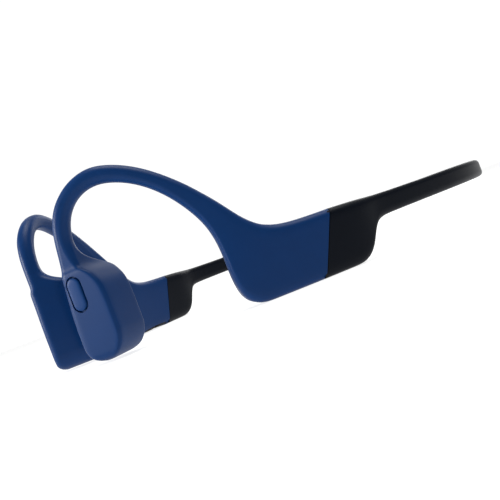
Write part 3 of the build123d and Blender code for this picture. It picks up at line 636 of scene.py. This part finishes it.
def add_volume_caps():
    """Cap of each volume button, on the half of the strip that its button is under."""
    strip_middle = under_right(STRIP_S)[0]
    size = (STRIP_SIZE[0] / 2 - CAP_GAP, STRIP_SIZE[1])
    for node in ("volume_up_button", "volume_down_button"):
        low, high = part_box(node)
        forward = (low[1] + high[1]) / 2 < strip_middle[1] * MM
        shift = STRIP_SIZE[0] / 4 * (1 if forward else -1)
        place = under_right(STRIP_S + shift)
        cap = plate(node + "_cap", place, size, [CAP_CORNER] * 4, CAP_PROFILE)
        add_piece(cap, "black_button", node, node)


def open_neckband(neckband):
    """Charging port and lamp hole on the underside of the right pod's black end."""
    port = pill_pit(under_right(PORT_S), PORT_SIZE, END_PIT_DEPTH)
    lamp = pill_pit(under_right(LAMP_S), LAMP_SIZE, END_PIT_DEPTH)
    carve(neckband, port, lamp)


def add_skin_pad(side):
    """Soft pad proud of the transducer's inner face."""
    name = SIDE_NAME[side]
    place = case_face(side, PAD_T, PAD_Z, -FACE_N)
    pad = plate("skin_pad_" + name, place, PAD_SIZE, PAD_CORNERS, PAD_PROFILE, flat=8, arc=12)
    add_piece(pad, "pad_silicone", BODY[side], "transducer_pad_" + name)


for part in frame["record"]["subparts"]:
    dress(frame["nodes"][part["node"]], FINISHES[part["material_slot"]])

skins = {side: blue_skin(side) for side in (LEFT, RIGHT)}
neckband = black_neckband()
add_multifunction_key(skins[LEFT])
open_right_skin(skins[RIGHT])
add_volume_caps()
open_neckband(neckband)

SKINNED = ("ear_hook_", "pod_shell_", "transducer_housing_", "transducer_lid_")
for side in (LEFT, RIGHT):
    add_skin_pad(side)
    hidden = [node + SIDE_NAME[side] for node in SKINNED]
    add_piece(skins[side], "blue_silicone", BODY[side], *hidden)

dress(neckband, BLACK)
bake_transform(neckband)
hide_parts("neckband_sleeve_left", "neckband_sleeve_right", "pod_end_left", "pod_end_right")


# ---------------------------------------------------------------- stage, light and camera
# Places and sizes of the stage are metres, and powers are watts.
VIEW = math.radians(53.6)
PITCH = math.radians(0.35)
ROLL = math.radians(20.9)
CAMERA_PLACE = (0.1859, -0.1480, 0.0130)
LENS = 49.9
SENSOR = 36.0
NEAR, FAR = 0.01, 20.0

FLOOR_REACH = 3.0
FLOOR_GLOW = {"Emission Strength": 0.8}
WHITE = (1, 1, 1, 1)
# The surround goes from dim to white as its direction nears that of the view.
FRONT_LIGHT = 0.3
BACK_LIGHT = 1.05
BACK_EDGE = (0.45, 0.85)


def add_floor():
    """Pale floor that glows like a light table, so that the shadows on it stay faint."""
    w = FLOOR_REACH
    mesh = bpy.data.meshes.new("floor")
    mesh.from_pydata([(-w, -w, 0), (w, -w, 0), (w, w, 0), (-w, w, 0)], [], [(0, 1, 2, 3)])
    floor = bpy.data.objects.new("floor", mesh)
    bpy.context.scene.collection.objects.link(floor)
    paper = material("pale_light_table", "#8C8C8C", "#898989", 0.85, 0.4, 0.01, more=FLOOR_GLOW)
    dress(floor, paper)


def add_surround():
    """Soft surround that is white behind the set and dimmer in front of it."""
    world = bpy.data.worlds.new("studio")
    bpy.context.scene.world = world
    world.use_nodes = True
    tree = world.node_tree
    tree.nodes.clear()
    place = add(tree, "ShaderNodeTexCoord")
    links = {"Vector": (place, "Generated")}
    facing = add(tree, "ShaderNodeVectorMath", {"operation": "DOT_PRODUCT"}, links)
    facing.inputs[1].default_value = (-math.sin(VIEW), math.cos(VIEW), 0.0)
    settings = {
        "From Min": BACK_EDGE[0],
        "From Max": BACK_EDGE[1],
        "To Min": FRONT_LIGHT,
        "To Max": BACK_LIGHT,
    }
    strength = add(tree, "ShaderNodeMapRange", settings, {"Value": (facing, "Value")})
    links = {"Strength": (strength, "Result")}
    surround = add(tree, "ShaderNodeBackground", {"Color": WHITE}, links)
    add(tree, "ShaderNodeOutputWorld", {}, {"Surface": (surround, "Background")})


def add_light(name, place, target, size, power):
    """Square soft light that faces its target."""
    light = bpy.data.lights.new(name, "AREA")
    light.energy = power
    light.size = size
    lamp = bpy.data.objects.new(name, light)
    lamp.location = place
    lamp.rotation_euler = (Vector(target) - Vector(place)).to_track_quat("-Z", "Y").to_euler()
    bpy.context.scene.collection.objects.link(lamp)


def add_camera():
    """Level camera just above the surface, turned to the front left and rolled."""
    level_part = math.cos(PITCH)
    ahead = Vector((-math.sin(VIEW) * level_part, math.cos(VIEW) * level_part, math.sin(PITCH)))
    level = ahead.cross(Vector(UP)).normalized()
    over = level.cross(ahead)
    right = level * math.cos(ROLL) - over * math.sin(ROLL)
    up = over * math.cos(ROLL) + level * math.sin(ROLL)
    data = bpy.data.cameras.new("camera")
    data.lens = LENS
    data.sensor_width = SENSOR
    data.clip_start = NEAR
    data.clip_end = FAR
    shot = bpy.data.objects.new("camera", data)
    shot.matrix_world = Matrix((
        (right.x, up.x, -ahead.x, CAMERA_PLACE[0]),
        (right.y, up.y, -ahead.y, CAMERA_PLACE[1]),
        (right.z, up.z, -ahead.z, CAMERA_PLACE[2]),
        (0, 0, 0, 1),
    ))
    bpy.context.scene.collection.objects.link(shot)
    bpy.context.scene.camera = shot


add_floor()
add_surround()
add_light("key", place=(-0.45, -0.9, 0.3), target=(0, -0.03, 0.02), size=0.35, power=10.0)
add_light("top", place=(0.1, 0.1, 0.9), target=(0, 0, 0.02), size=0.6, power=7.0)
add_light("rim", place=(-0.5, 0.75, 0.35), target=(0, 0, 0.02), size=0.4, power=1.5)
add_camera()
bpy.context.scene.view_settings.view_transform = "Standard"
